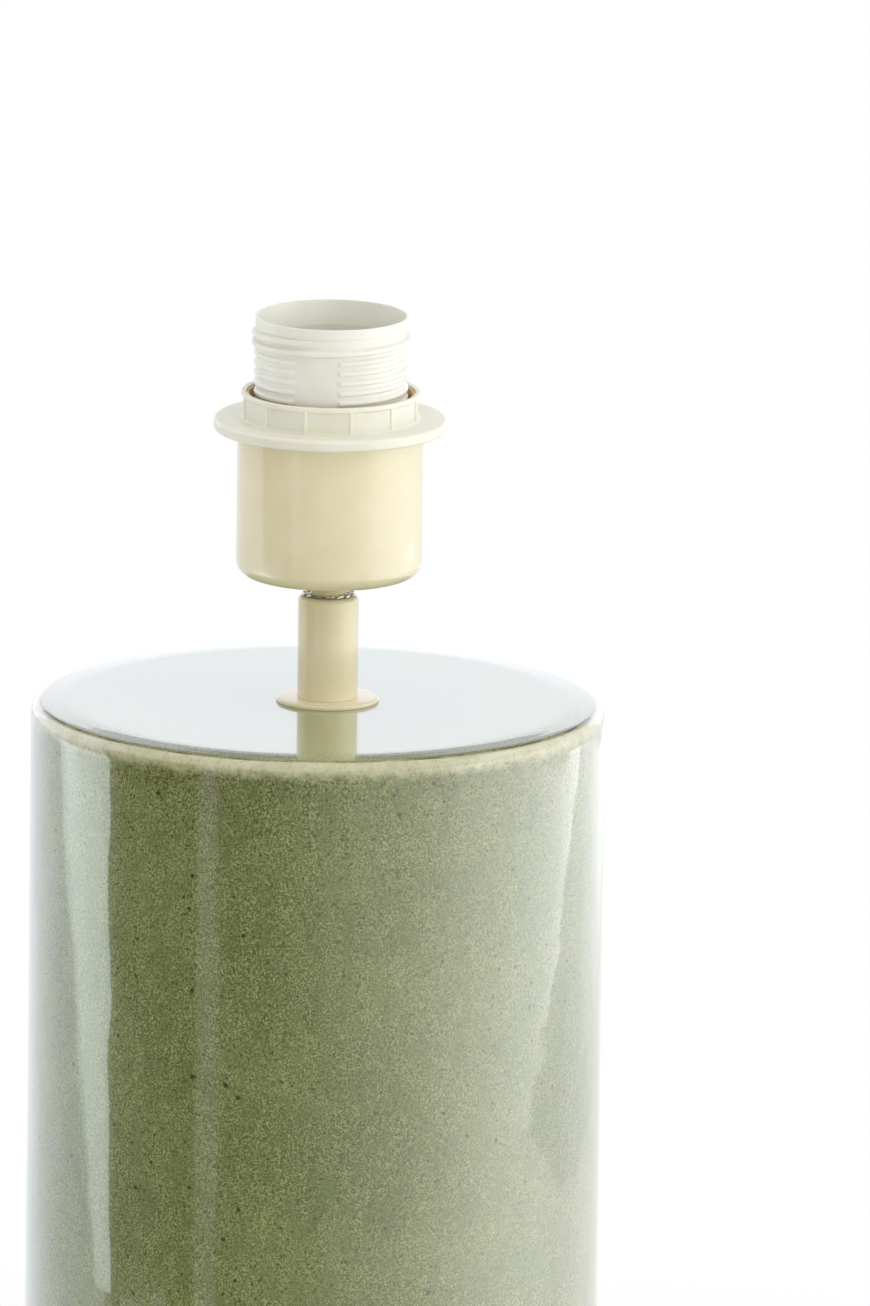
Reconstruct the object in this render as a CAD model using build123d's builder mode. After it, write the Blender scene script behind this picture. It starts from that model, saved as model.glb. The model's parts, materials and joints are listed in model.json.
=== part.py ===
from build123d import *
from math import sqrt
import os

# Table lamp base: a glazed ceramic cylinder that carries a painted stem and cup with a
# screw lampholder. Millimetres, +Z up. The origin is on the table under the middle of the
# ceramic cylinder. The front is -Y and the cable leaves low on the back, +Y.

# Shared values
overrun = 1.0
thread_gap = 0.05
front_turn = -90.0

# Hollow threaded tube that ties the stem together
tube_d = 9.9
tube_wall = 1.15
tube_end_chamfer = 0.4
tube_nut_stand_out = 6.0
tube_top_drop = 1.0

# Ceramic body; the tube stands against one side of the slack in its top hole
body_d = 142.0
body_h = 250.0
body_wall = 6.0
body_ceiling_t = 7.0
body_floor_t = 6.0
body_mouth_d = 92.0
body_top_round = 3.0
body_foot_round = 2.0
body_mouth_round = 1.5
body_cavity_round = 5.0
stem_hole_slack = 2.55
tube_side_gap = 0.25

# Foot pads
pad_d = 12.0
pad_h = 2.5
pad_round = 0.6
pad_count = 4
pad_turn = 45.0

# Cable hole and its grommet
cable_d = 6.5
cable_gap = 0.25
grommet_wall = 2.0
grommet_lip = 2.2
grommet_lip_t = 1.2
cable_hole_rise = 18.0

# Clamp under the ceramic top
washer_hole_gap = 0.2
rubber_washer_d = 36.0
rubber_washer_t = 2.0
steel_washer_d = 33.0
steel_washer_t = 1.6
lock_washer_d = 18.0
lock_washer_t = 0.9
lock_washer_tooth = 1.4
lock_washer_teeth = 12
hex_nut_flats = 14.0
hex_nut_h = 4.0

# Stem: rosette, neck tube and its lock washer
rosette_d = 25.4
rosette_t = 1.0
rosette_round = 0.3
neck_room = 1.35
neck_wall = 1.2
neck_h = 25.7
neck_top_round = 1.2
neck_thread_h = 8.0
neck_washer_lap = 0.05
neck_washer_t = 0.8
neck_washer_tooth = 0.7
neck_washer_teeth = 14
neck_bare_thread_h = 2.3

# Screw shell, with the 27 mm lamp thread; the lampholder is built out round it
shell_d = 28.0
shell_wall = 0.65
shell_h = 22.0
shell_floor_t = 0.5
shell_floor_w = 3.35
shell_round = 1.0
shell_pitch = 3.629
shell_turns = 5.0
shell_thread_depth = 1.15
shell_thread_base_w = 2.2
shell_thread_crest_w = 0.9
shell_thread_sink = 0.3
shell_thread_rise = 2.4

# Lower half of the lampholder, inside the cup
dome_boss_wall = 4.05
dome_boss_h = 7.0
dome_cone_h = 6.5
dome_side_h = 1.8
dome_floor_t = 2.5
dome_ledge_w = 1.8
dome_rim_wall = 1.8
dome_round = 1.2
lock_screw_d = 3.0
lock_screw_rise = 3.6
lock_screw_slot_w = 0.6
lock_screw_slot_depth = 0.8

# Cup and the thin nut under it
cup_nut_h = 2.0
cup_wall = 1.0
cup_side_gap = 2.75
cup_over_dome = 11.25
cup_round = 3.75
cup_rim_round = 0.3

# Upper half of the lampholder, with its outside thread
shell_side_gap = 1.35
skirt_h = 40.2
skirt_spigot_h = 7.0
skirt_spigot_gap = 0.1
skirt_spigot_wall = 1.95
skirt_shoulder_w = 1.15
skirt_wall = 1.15
skirt_step_drop = 13.2
skirt_mouth_w = 1.1
skirt_mouth_h = 6.0
skirt_rim_proud = 0.35
skirt_rim_h = 2.6
skirt_rim_round = 0.15

thread_pitch = 2.5
thread_depth = 0.6
thread_crest_w = 0.6
thread_base_w = 1.7
thread_root_sink = 0.35
turns_below_ring = 2
low_thread_turns = 10
full_thread_depth = 1.25
full_thread_edge = 0.15
full_base_w = 1.9
full_crest_w = 0.75
panel_w = 11.5
panel_turn = 12.0
panel_drop = 7.5

# Ring that clamps a shade
ring_seat_gap = 0.25
ring_flange_d = 57.6
ring_flange_t = 2.9
ring_flange_round = 0.5
ring_wall = 2.2
ring_lip_wall = 1.3
ring_collar_h = 6.8
ring_rim_h = 1.1
ring_panel_foot_h = 0.4
ring_panel_depth = 0.6
ring_panel_count = 12
ring_panel_turn = 13.5
ring_thread_zone_h = 5.6
ring_thread_gap = 0.2
ring_thread_lead = 1.4
ring_thread_edge = 0.3
ring_thread_reach = 1.0
ring_thread_base_w = 1.15
ring_thread_crest_w = 0.4

# Sleeve inside the ring's collar
liner_t = 0.55
liner_gap = 0.08
liner_rim_drop = 0.6

# Carrier of the contacts
carrier_h = 14.0
carrier_gap = 0.15
carrier_flange_t = 1.8
carrier_flange_gap = 0.1
carrier_round = 0.5

# Contacts
strip_t = 0.5
strip_w = 6.0
foot_edge_gap = 0.34
hinge_out = 5.5
hinge_rise = 0.45
tongue_gap = 0.3
tongue_rise = 2.6
tongue_past = 2.5
tongue_pad_d = 4.4
tongue_pad_h = 0.7
tongue_bend_share = 0.3
strap_w = 4.0
strap_inset = 0.2
rivet_d = 1.8
rivet_head_d = 2.4
rivet_head_t = 0.5
rivet_stem_h = 4.0

# Terminals
block_l = 5.0
block_w = 6.4
block_h = 7.0
block_gap = 0.1
block_wire_d = 2.6
screw_d = 3.0
screw_head_d = 4.6
screw_head_h = 1.6
screw_head_inset = 1.7
screw_end_gap = 1.0
screw_access_gap = 0.3
screw_slot_w = 0.7
screw_slot_depth = 0.7

# Ceramic body and stem, from the table up
body_r = body_d / 2
cavity_r = body_r - body_wall
body_foot = pad_h
body_top = body_foot + body_h
body_ceiling = body_top - body_ceiling_t
cable_hole_d = cable_d + (cable_gap + grommet_wall) * 2
cable_z = body_foot + body_floor_t + cable_hole_rise

tube_r = tube_d / 2
thread_hole_r = tube_r + thread_gap
washer_hole_r = tube_r + washer_hole_gap
stem_hole_r = tube_r + stem_hole_slack
stem_x = stem_hole_slack - tube_side_gap
stem_axis = Axis((stem_x, 0, 0), (0, 0, 1))
stem_section = Plane((stem_x, 0, 0), x_dir=(1, 0, 0), z_dir=(0, -1, 0))

steel_washer_top = body_ceiling - rubber_washer_t
lock_washer_top = steel_washer_top - steel_washer_t
hex_nut_top = lock_washer_top - lock_washer_t
tube_bottom = hex_nut_top - hex_nut_h - tube_nut_stand_out

neck_bore_r = tube_r + neck_room
neck_r = neck_bore_r + neck_wall
neck_base = body_top + rosette_t
neck_top = neck_base + neck_h
neck_washer_d = (neck_r - neck_top_round + neck_washer_lap) * 2
cup_nut_base = neck_top + neck_washer_t + neck_bare_thread_h
cup_base = cup_nut_base + cup_nut_h
holder_base = cup_base + cup_wall
tube_top = holder_base + dome_boss_h + dome_floor_t - tube_top_drop

# Lampholder, from the screw shell outwards
shell_r = shell_d / 2
shell_inner_r = shell_r - shell_wall
shell_floor_hole_r = shell_inner_r - shell_floor_w
skirt_low_bore_r = shell_r + shell_side_gap
spigot_r = skirt_low_bore_r + skirt_spigot_wall
dome_bore_r = spigot_r + skirt_spigot_gap
dome_r = dome_bore_r + dome_rim_wall
dome_cavity_r = dome_bore_r - dome_ledge_w
dome_boss_r = tube_r + dome_boss_wall
skirt_root_r = spigot_r + skirt_shoulder_w
skirt_bore_r = skirt_root_r - skirt_wall
skirt_rim_r = skirt_root_r + skirt_rim_proud
crest_r = skirt_root_r + thread_depth
full_crest_r = skirt_root_r + full_thread_depth

dome_shoulder = holder_base + dome_boss_h + dome_cone_h
dome_ledge = dome_shoulder + dome_side_h
skirt_bottom = dome_ledge + carrier_flange_t + carrier_flange_gap
dome_top = skirt_bottom + skirt_spigot_h
skirt_top = dome_top + skirt_h
skirt_step = skirt_top - skirt_step_drop
band_base = skirt_top - skirt_rim_h

# Cup round the lower half, with the ring on its rim
cup_r = dome_r + cup_side_gap + cup_wall
cup_rim = dome_top + cup_over_dome
ring_base = cup_rim + ring_seat_gap
ring_top = ring_base + ring_flange_t + ring_collar_h
ring_thread_r = full_crest_r + ring_thread_gap
collar_r = ring_thread_r + ring_wall
collar_bore_r = collar_r - ring_lip_wall
ring_thread_top = ring_base + ring_thread_zone_h
ring_thread_start = ring_base + ring_thread_lead + ring_thread_base_w / 2
ring_thread_end = ring_thread_top - ring_thread_edge - ring_thread_base_w / 2
ring_thread_turns = (ring_thread_end - ring_thread_start) / thread_pitch

# At rest the ring's thread lies half way between two turns of the skirt's thread
thread_start = ring_thread_start - (turns_below_ring + 1 / 2) * thread_pitch
full_thread_start = thread_start + low_thread_turns * thread_pitch
full_thread_end = band_base - full_thread_edge - full_base_w / 2

# Contacts and terminals, inside the carrier
carrier_base = dome_ledge
carrier_top = carrier_base + carrier_h
carrier_r = skirt_low_bore_r - carrier_gap
block_face = carrier_r - screw_head_inset - screw_head_h
block_mid = block_face - block_l / 2
block_top = carrier_base + block_h
screw_l = block_l - screw_end_gap
screw_z = carrier_base + block_h / 2
foot_out = sqrt(shell_floor_hole_r**2 - (strip_w / 2) ** 2) - foot_edge_gap
foot_end = hinge_out + strip_t / 2 + tongue_gap
strap_leg_out = shell_floor_hole_r + strap_inset
strap_end_out = shell_inner_r - strap_inset
foot_rivet_out = (foot_out + foot_end) / 2
shell_rivet_out = (shell_floor_hole_r + shell_inner_r) / 2
rivet_places = [(-foot_rivet_out, 0), (0, -shell_rivet_out), (0, shell_rivet_out)]
block_places = [(-block_mid, 0), (block_mid, 0)]


def section(plane, points):
    """Closed outline on an upright plane, from (radius, height, corner round) points."""
    with BuildSketch(plane) as face:
        with BuildLine():
            Polyline([(r, z) for r, z, _ in points], close=True)
        make_face()
        for r, z, corner in points:
            if corner > 0:
                fillet(face.vertices().sort_by_distance((r, z))[0], corner)
    return face.sketch


def washer_section(hole_r, outer_r, bottom, top, corner=0):
    """Section of a flat ring on the stem's axis."""
    return section(
        stem_section,
        [(hole_r, bottom, 0), (outer_r, bottom, corner), (outer_r, top, corner), (hole_r, top, 0)],
    )


def stem_plane(height):
    """Level plane on the stem's axis."""
    return Plane((stem_x, 0, height))


def ridge(start, pitch, turns, base_r, crest_r, base_w, crest_w):
    """Right-hand helical ridge that rises from base_r to crest_r, in or out."""
    with BuildPart() as helical:
        with BuildLine(stem_plane(start)) as path:
            Helix(pitch, pitch * turns, base_r)
        line = path.line
        with BuildSketch(Plane(line @ 0, x_dir=(1, 0, 0), z_dir=line % 0)):
            with BuildLine():
                reach = crest_r - base_r
                Polyline(
                    (0, -base_w / 2),
                    (reach, -crest_w / 2),
                    (reach, crest_w / 2),
                    (0, base_w / 2),
                    close=True,
                )
            make_face()
        sweep(path=line, is_frenet=True)
    return helical.part


# Ceramic body, open underneath
cable_plane = Plane((0, cavity_r - body_wall, cable_z), x_dir=(1, 0, 0), z_dir=(0, 1, 0))
cable_cut = body_wall * 3
with BuildPart() as ceramic_body:
    revolve(
        section(
            Plane.XZ,
            [
                (stem_hole_r, body_top, 0),
                (body_r, body_top, body_top_round),
                (body_r, body_foot, body_foot_round),
                (body_mouth_d / 2, body_foot, body_mouth_round),
                (body_mouth_d / 2, body_foot + body_floor_t, body_mouth_round),
                (cavity_r, body_foot + body_floor_t, body_cavity_round),
                (cavity_r, body_ceiling, body_cavity_round),
                (stem_hole_r, body_ceiling, 0),
            ],
        )
    )
    with BuildSketch(cable_plane):
        Circle(cable_hole_d / 2)
    extrude(amount=cable_cut, mode=Mode.SUBTRACT)

# Pads under the foot
pad_circle_r = (body_mouth_d / 2 + body_mouth_round + body_r - body_foot_round) / 2
with BuildPart() as foot_pads:
    with BuildSketch():
        with PolarLocations(pad_circle_r, pad_count, start_angle=pad_turn):
            Circle(pad_d / 2)
    extrude(amount=pad_h)
    fillet(foot_pads.edges().group_by(Axis.Z)[0], pad_round)

# Grommet in the cable hole; its two lips follow the curved wall
grommet_r = cable_hole_d / 2 - thread_gap
with BuildPart() as grommet_waist:
    with BuildSketch():
        Circle(body_r + thread_gap)
        Circle(cavity_r - thread_gap, mode=Mode.SUBTRACT)
    extrude(amount=cable_z * 2)
    with BuildSketch(cable_plane):
        Circle(grommet_r)
    extrude(amount=cable_cut, mode=Mode.SUBTRACT)
with BuildPart() as cable_grommet:
    with BuildSketch(cable_plane):
        Circle(cable_hole_d / 2 + grommet_lip)
    extrude(amount=cable_cut)
    with BuildSketch():
        Circle(body_r + grommet_lip_t)
        Circle(cavity_r - grommet_lip_t, mode=Mode.SUBTRACT)
    extrude(amount=cable_z * 2, mode=Mode.INTERSECT)
    add(grommet_waist.part, mode=Mode.SUBTRACT)
    with BuildSketch(cable_plane):
        Circle(cable_d / 2 + cable_gap)
    extrude(amount=cable_cut, mode=Mode.SUBTRACT)

# Clamp under the ceramic top: rubber, steel and toothed washers and a hex nut
with BuildPart() as inner_rubber_washer:
    revolve(
        washer_section(washer_hole_r, rubber_washer_d / 2, steel_washer_top, body_ceiling),
        axis=stem_axis,
    )
with BuildPart() as inner_steel_washer:
    revolve(
        washer_section(washer_hole_r, steel_washer_d / 2, lock_washer_top, steel_washer_top),
        axis=stem_axis,
    )


def toothed_washer(base, outer_d, thickness, teeth, tooth):
    """Flat washer whose edge is cut into square teeth."""
    with BuildPart() as toothed:
        with BuildSketch(stem_plane(base)):
            Circle(outer_d / 2)
            Circle(washer_hole_r, mode=Mode.SUBTRACT)
            with PolarLocations(outer_d / 2, teeth):
                Rectangle(tooth, tooth, mode=Mode.SUBTRACT)
        extrude(amount=thickness)
    return toothed


inner_lock_washer = toothed_washer(
    hex_nut_top, lock_washer_d, lock_washer_t, lock_washer_teeth, lock_washer_tooth
)


def hex_nut(base, height):
    """Hexagon nut on the threaded tube, its corners bevelled at 30 degrees."""
    flats_r = hex_nut_flats / 2
    corner_r = hex_nut_flats / sqrt(3)
    bevel_h = (corner_r - flats_r) / sqrt(3)
    top = base + height
    with BuildPart() as nut:
        with BuildSketch(stem_plane(base)):
            RegularPolygon(radius=flats_r, side_count=6, major_radius=False)
            Circle(thread_hole_r, mode=Mode.SUBTRACT)
        extrude(amount=height)
        revolve(
            section(
                stem_section,
                [
                    (0, base, 0),
                    (flats_r, base, 0),
                    (corner_r, base + bevel_h, 0),
                    (corner_r, top - bevel_h, 0),
                    (flats_r, top, 0),
                    (0, top, 0),
                ],
            ),
            axis=stem_axis,
            mode=Mode.INTERSECT,
        )
    return nut


inner_hex_nut = hex_nut(hex_nut_top - hex_nut_h, hex_nut_h)
cup_nut = hex_nut(cup_nut_base, cup_nut_h)

with BuildPart() as threaded_tube:
    with BuildSketch(stem_plane(tube_bottom)):
        Circle(tube_r)
        Circle(tube_r - tube_wall, mode=Mode.SUBTRACT)
    extrude(amount=tube_top - tube_bottom)
    rims = threaded_tube.edges().filter_by(GeomType.CIRCLE).group_by(SortBy.RADIUS)[-1]
    chamfer(rims, tube_end_chamfer)

# Stem on top of the body
with BuildPart() as neck_rosette:
    revolve(
        washer_section(washer_hole_r, rosette_d / 2, body_top, neck_base, rosette_round),
        axis=stem_axis,
    )
with BuildPart() as neck_tube:
    revolve(
        section(
            stem_section,
            [
                (neck_bore_r, neck_base, 0),
                (neck_r, neck_base, 0),
                (neck_r, neck_top, neck_top_round),
                (thread_hole_r, neck_top, 0),
                (thread_hole_r, neck_top - neck_thread_h, 0),
                (neck_bore_r, neck_top - neck_thread_h, 0),
            ],
        ),
        axis=stem_axis,
    )
neck_lock_washer = toothed_washer(
    neck_top, neck_washer_d, neck_washer_t, neck_washer_teeth, neck_washer_tooth
)

# Cup
with BuildPart() as cup:
    revolve(
        section(
            stem_section,
            [
                (washer_hole_r, cup_base, 0),
                (cup_r, cup_base, cup_round),
                (cup_r, cup_rim, cup_rim_round),
                (cup_r - cup_wall, cup_rim, cup_rim_round),
                (cup_r - cup_wall, holder_base, cup_round - cup_wall),
                (washer_hole_r, holder_base, 0),
            ],
        ),
        axis=stem_axis,
    )

# Lower half of the lampholder, and the grub screw in its boss
lock_screw_plane = Plane(
    (stem_x, tube_r, holder_base + lock_screw_rise), x_dir=(1, 0, 0), z_dir=(0, 1, 0)
)
lock_screw_l = dome_boss_r - tube_r
with BuildPart() as holder_dome:
    floor = holder_base + dome_boss_h + dome_floor_t
    revolve(
        section(
            stem_section,
            [
                (thread_hole_r, holder_base, 0),
                (dome_boss_r, holder_base, 0),
                (dome_boss_r, holder_base + dome_boss_h, dome_round),
                (dome_r, dome_shoulder, dome_round),
                (dome_r, dome_top, 0),
                (dome_bore_r, dome_top, 0),
                (dome_bore_r, dome_ledge, 0),
                (dome_cavity_r, dome_ledge, 0),
                (dome_cavity_r, dome_shoulder, dome_round),
                (dome_boss_r, floor, 0),
                (thread_hole_r, floor, 0),
            ],
        ),
        axis=stem_axis,
    )
    with BuildSketch(lock_screw_plane):
        Circle(lock_screw_d / 2 + thread_gap)
    extrude(amount=lock_screw_l + overrun, mode=Mode.SUBTRACT)
with BuildPart() as dome_lock_screw:
    with BuildSketch(lock_screw_plane.offset(thread_gap)):
        Circle(lock_screw_d / 2)
    extrude(amount=lock_screw_l - thread_gap)
    with BuildSketch(lock_screw_plane.offset(lock_screw_l)):
        Rectangle(lock_screw_d + overrun, lock_screw_slot_w)
    extrude(amount=-lock_screw_slot_depth, mode=Mode.SUBTRACT)

# Upper half of the lampholder
panel_top = skirt_top - panel_drop
low_ridge = ridge(
    thread_start,
    thread_pitch,
    low_thread_turns,
    skirt_root_r - thread_root_sink,
    crest_r,
    thread_base_w,
    thread_crest_w,
)
full_ridge = ridge(
    full_thread_start,
    thread_pitch,
    (full_thread_end - full_thread_start) / thread_pitch,
    skirt_root_r - thread_root_sink,
    full_crest_r,
    full_base_w,
    full_crest_w,
)
with BuildPart() as low_threads:
    add(low_ridge)
    with BuildSketch(stem_plane(dome_top)):
        with PolarLocations(full_crest_r, 1, start_angle=front_turn - panel_turn):
            Rectangle(full_crest_r * 2, panel_w)
    extrude(amount=panel_top - dome_top, mode=Mode.SUBTRACT)
with BuildPart() as holder_skirt:
    revolve(
        section(
            stem_section,
            [
                (skirt_low_bore_r, skirt_bottom, 0),
                (spigot_r, skirt_bottom, 0),
                (spigot_r, dome_top, 0),
                (skirt_root_r, dome_top, 0),
                (skirt_root_r, band_base, 0),
                (skirt_rim_r, band_base, 0),
                (skirt_rim_r, skirt_top, skirt_rim_round),
                (skirt_bore_r + skirt_mouth_w, skirt_top, 0),
                (skirt_bore_r, skirt_top - skirt_mouth_h, 0),
                (skirt_bore_r, skirt_step, 0),
                (skirt_low_bore_r, skirt_step, 0),
            ],
        ),
        axis=stem_axis,
    )
    add(full_ridge)
    add(low_threads.part)

# Ring that clamps a shade
panel_base = ring_base + ring_flange_t + ring_panel_foot_h
ring_ridge = ridge(
    ring_thread_start,
    thread_pitch,
    ring_thread_turns,
    ring_thread_r + thread_root_sink,
    ring_thread_r - ring_thread_reach,
    ring_thread_base_w,
    ring_thread_crest_w,
)
with BuildPart() as shade_ring:
    revolve(
        section(
            stem_section,
            [
                (ring_thread_r, ring_base, 0),
                (ring_flange_d / 2, ring_base, ring_flange_round),
                (ring_flange_d / 2, ring_base + ring_flange_t, ring_flange_round),
                (collar_r, ring_base + ring_flange_t, 0),
                (collar_r, ring_top, 0),
                (collar_bore_r, ring_top, 0),
                (collar_bore_r, ring_thread_top, 0),
                (ring_thread_r, ring_thread_top, 0),
            ],
        ),
        axis=stem_axis,
    )
    with BuildSketch(stem_plane(panel_base)):
        Circle(collar_r + overrun)
        RegularPolygon(
            radius=collar_r - ring_panel_depth,
            side_count=ring_panel_count,
            major_radius=False,
            rotation=ring_panel_turn,
            mode=Mode.SUBTRACT,
        )
    extrude(amount=ring_top - ring_rim_h - panel_base, mode=Mode.SUBTRACT)
    add(ring_ridge)

# Sleeve inside the collar
with BuildPart() as ring_liner:
    revolve(
        washer_section(
            collar_bore_r - liner_gap - liner_t,
            collar_bore_r - liner_gap,
            ring_thread_top + liner_gap,
            ring_top - liner_rim_drop,
        ),
        axis=stem_axis,
    )

# Carrier of the contacts, clamped between the two halves of the lampholder


def terminal_plane(side, proud):
    """Upright plane on the outer face of a terminal block, or proud of it."""
    out = block_face + proud
    return Plane((stem_x + side * out, 0, screw_z), x_dir=(0, 1, 0), z_dir=(side, 0, 0))


with BuildPart() as contact_carrier:
    revolve(
        section(
            stem_section,
            [
                (0, carrier_base, 0),
                (spigot_r, carrier_base, 0),
                (spigot_r, carrier_base + carrier_flange_t, 0),
                (carrier_r, carrier_base + carrier_flange_t, 0),
                (carrier_r, carrier_top, carrier_round),
                (0, carrier_top, 0),
            ],
        ),
        axis=stem_axis,
    )
    with BuildSketch(stem_plane(carrier_base)):
        with Locations(*block_places):
            Rectangle(block_l + block_gap * 2, block_w + block_gap * 2)
    extrude(amount=block_h + block_gap, mode=Mode.SUBTRACT)
    with BuildSketch(stem_plane(block_top)):
        with Locations((-foot_out + strip_t / 2, 0)):
            Rectangle(strip_t, strip_w)
        with Locations((strap_leg_out + strip_t / 2, 0)):
            Rectangle(strip_t, strap_w)
    extrude(amount=carrier_h, mode=Mode.SUBTRACT)
    with BuildSketch(stem_plane(carrier_top)):
        with Locations(((strap_leg_out + strap_end_out) / 2, 0)):
            Rectangle(strap_end_out - strap_leg_out, strap_w)
    extrude(amount=-strip_t, mode=Mode.SUBTRACT)
    with BuildSketch(stem_plane(carrier_top)):
        with Locations(*rivet_places):
            Circle(rivet_d / 2)
    extrude(amount=-rivet_stem_h, mode=Mode.SUBTRACT)
    for side in (-1, 1):
        with BuildSketch(terminal_plane(side, 0)):
            Circle(screw_head_d / 2 + screw_access_gap)
        extrude(amount=spigot_r, mode=Mode.SUBTRACT)

# Screw shell
shell_base = carrier_top
shell_top = shell_base + shell_h
shell_ridge = ridge(
    shell_base + shell_thread_rise,
    shell_pitch,
    shell_turns,
    shell_inner_r + shell_thread_sink,
    shell_inner_r - shell_thread_depth,
    shell_thread_base_w,
    shell_thread_crest_w,
)
with BuildPart() as screw_shell:
    revolve(
        section(
            stem_section,
            [
                (shell_floor_hole_r, shell_base, 0),
                (shell_r, shell_base, shell_round),
                (shell_r, shell_top, 0),
                (shell_inner_r, shell_top, 0),
                (shell_inner_r, shell_base + shell_floor_t, shell_round - shell_floor_t),
                (shell_floor_hole_r, shell_base + shell_floor_t, 0),
            ],
        ),
        axis=stem_axis,
    )
    with BuildSketch(stem_plane(shell_base)):
        with Locations(*rivet_places):
            Circle(rivet_d / 2)
    extrude(amount=shell_floor_t, mode=Mode.SUBTRACT)
    add(shell_ridge)

# Foot of the centre contact, its leg on the left terminal
with BuildPart() as contact_foot:
    with BuildSketch(stem_section):
        with BuildLine():
            Polyline(
                (-foot_out, block_top),
                (-foot_out + strip_t, block_top),
                (-foot_out + strip_t, carrier_top),
                (-foot_end, carrier_top),
                (-foot_end, carrier_top + strip_t),
                (-foot_out, carrier_top + strip_t),
                close=True,
            )
        make_face()
    extrude(amount=strip_w / 2, both=True)
    with BuildSketch(stem_plane(carrier_top)):
        with Locations(*rivet_places):
            Circle(rivet_d / 2)
    extrude(amount=strip_t, mode=Mode.SUBTRACT)

# Sprung tongue of the centre contact, with a round pad under the lamp's tip
tongue_root = carrier_top + hinge_rise
tongue_top = tongue_root + tongue_rise
with BuildPart() as centre_contact:
    with BuildSketch(stem_section):
        with BuildLine():
            Polyline(
                (-hinge_out, tongue_root),
                (-hinge_out * tongue_bend_share, tongue_top),
                (tongue_past, tongue_top),
                (tongue_past, tongue_top + strip_t),
                (-hinge_out * tongue_bend_share, tongue_top + strip_t),
                (-hinge_out, tongue_root + strip_t),
                close=True,
            )
        make_face()
        with Locations((-hinge_out, tongue_root + strip_t / 2)):
            Circle(strip_t / 2)
    extrude(amount=strip_w / 2, both=True)
    with BuildSketch(stem_plane(tongue_top + strip_t)):
        Circle(tongue_pad_d / 2)
    extrude(amount=tongue_pad_h)
    fillet(centre_contact.edges().group_by(Axis.Z)[-1], tongue_pad_h - thread_gap)

# Strap from the screw shell to the right terminal
with BuildPart() as side_contact:
    with BuildSketch(stem_section):
        with BuildLine():
            Polyline(
                (strap_leg_out, block_top),
                (strap_leg_out + strip_t, block_top),
                (strap_leg_out + strip_t, carrier_top - strip_t),
                (strap_end_out, carrier_top - strip_t),
                (strap_end_out, carrier_top),
                (strap_leg_out, carrier_top),
                close=True,
            )
        make_face()
    extrude(amount=strap_w / 2, both=True)

with BuildPart() as contact_rivets:
    with BuildSketch(stem_plane(carrier_top + strip_t - rivet_stem_h)):
        with Locations(*rivet_places):
            Circle(rivet_d / 2)
    extrude(amount=rivet_stem_h)
    with BuildSketch(stem_plane(carrier_top + strip_t)):
        with Locations(*rivet_places):
            Circle(rivet_head_d / 2)
    extrude(amount=rivet_head_t)
    fillet(contact_rivets.edges().group_by(Axis.Z)[-1], rivet_head_t / 2)

# Terminals: a block with a wire hole from below and a clamping screw from the side
with BuildPart() as terminal_blocks:
    with BuildSketch(stem_plane(carrier_base)):
        with Locations(*block_places):
            Rectangle(block_l, block_w)
            Circle(block_wire_d / 2, mode=Mode.SUBTRACT)
    extrude(amount=block_h)
    for side in (-1, 1):
        with BuildSketch(terminal_plane(side, 0)):
            Circle(screw_d / 2)
        extrude(amount=-screw_l, mode=Mode.SUBTRACT)
with BuildPart() as terminal_screws:
    for side in (-1, 1):
        with BuildSketch(terminal_plane(side, 0)):
            Circle(screw_d / 2)
        extrude(amount=-screw_l)
        with BuildSketch(terminal_plane(side, 0)):
            Circle(screw_head_d / 2)
        extrude(amount=screw_head_h)
        with BuildSketch(terminal_plane(side, screw_head_h)):
            Rectangle(screw_head_d + overrun, screw_slot_w)
        extrude(amount=-screw_slot_depth, mode=Mode.SUBTRACT)

pieces = {
    "ceramic_body": ceramic_body,
    "foot_pads": foot_pads,
    "cable_grommet": cable_grommet,
    "inner_rubber_washer": inner_rubber_washer,
    "inner_steel_washer": inner_steel_washer,
    "inner_lock_washer": inner_lock_washer,
    "inner_hex_nut": inner_hex_nut,
    "threaded_tube": threaded_tube,
    "neck_rosette": neck_rosette,
    "neck_tube": neck_tube,
    "neck_lock_washer": neck_lock_washer,
    "cup_nut": cup_nut,
    "cup": cup,
    "holder_dome": holder_dome,
    "dome_lock_screw": dome_lock_screw,
    "holder_skirt": holder_skirt,
    "shade_ring": shade_ring,
    "ring_liner": ring_liner,
    "contact_carrier": contact_carrier,
    "screw_shell": screw_shell,
    "contact_foot": contact_foot,
    "centre_contact": centre_contact,
    "side_contact": side_contact,
    "contact_rivets": contact_rivets,
    "terminal_blocks": terminal_blocks,
    "terminal_screws": terminal_screws,
}
os.makedirs("parts", exist_ok=True)
for name, piece in pieces.items():
    piece.part.label = name
    export_step(piece.part, f"parts/{name}.step")
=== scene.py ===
"""Looks of the ceramic lamp base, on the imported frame. Metres, +Z up, the front is -Y."""

import json
from math import ceil, cos, hypot, pi, radians, sin, tan
from types import SimpleNamespace

import bmesh
import bpy
from mathutils import Matrix, Vector, noise


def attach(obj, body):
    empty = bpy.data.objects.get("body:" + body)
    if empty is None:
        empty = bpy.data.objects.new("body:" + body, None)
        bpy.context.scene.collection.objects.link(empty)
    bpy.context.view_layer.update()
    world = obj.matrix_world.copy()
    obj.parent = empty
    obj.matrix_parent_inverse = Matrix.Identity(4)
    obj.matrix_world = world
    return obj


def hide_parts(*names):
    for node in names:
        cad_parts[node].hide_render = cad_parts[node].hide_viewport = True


MM = 0.001
# Stem and lampholder stand this far to the right of the body's middle, in millimetres
STEM_X = 2.3

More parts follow.
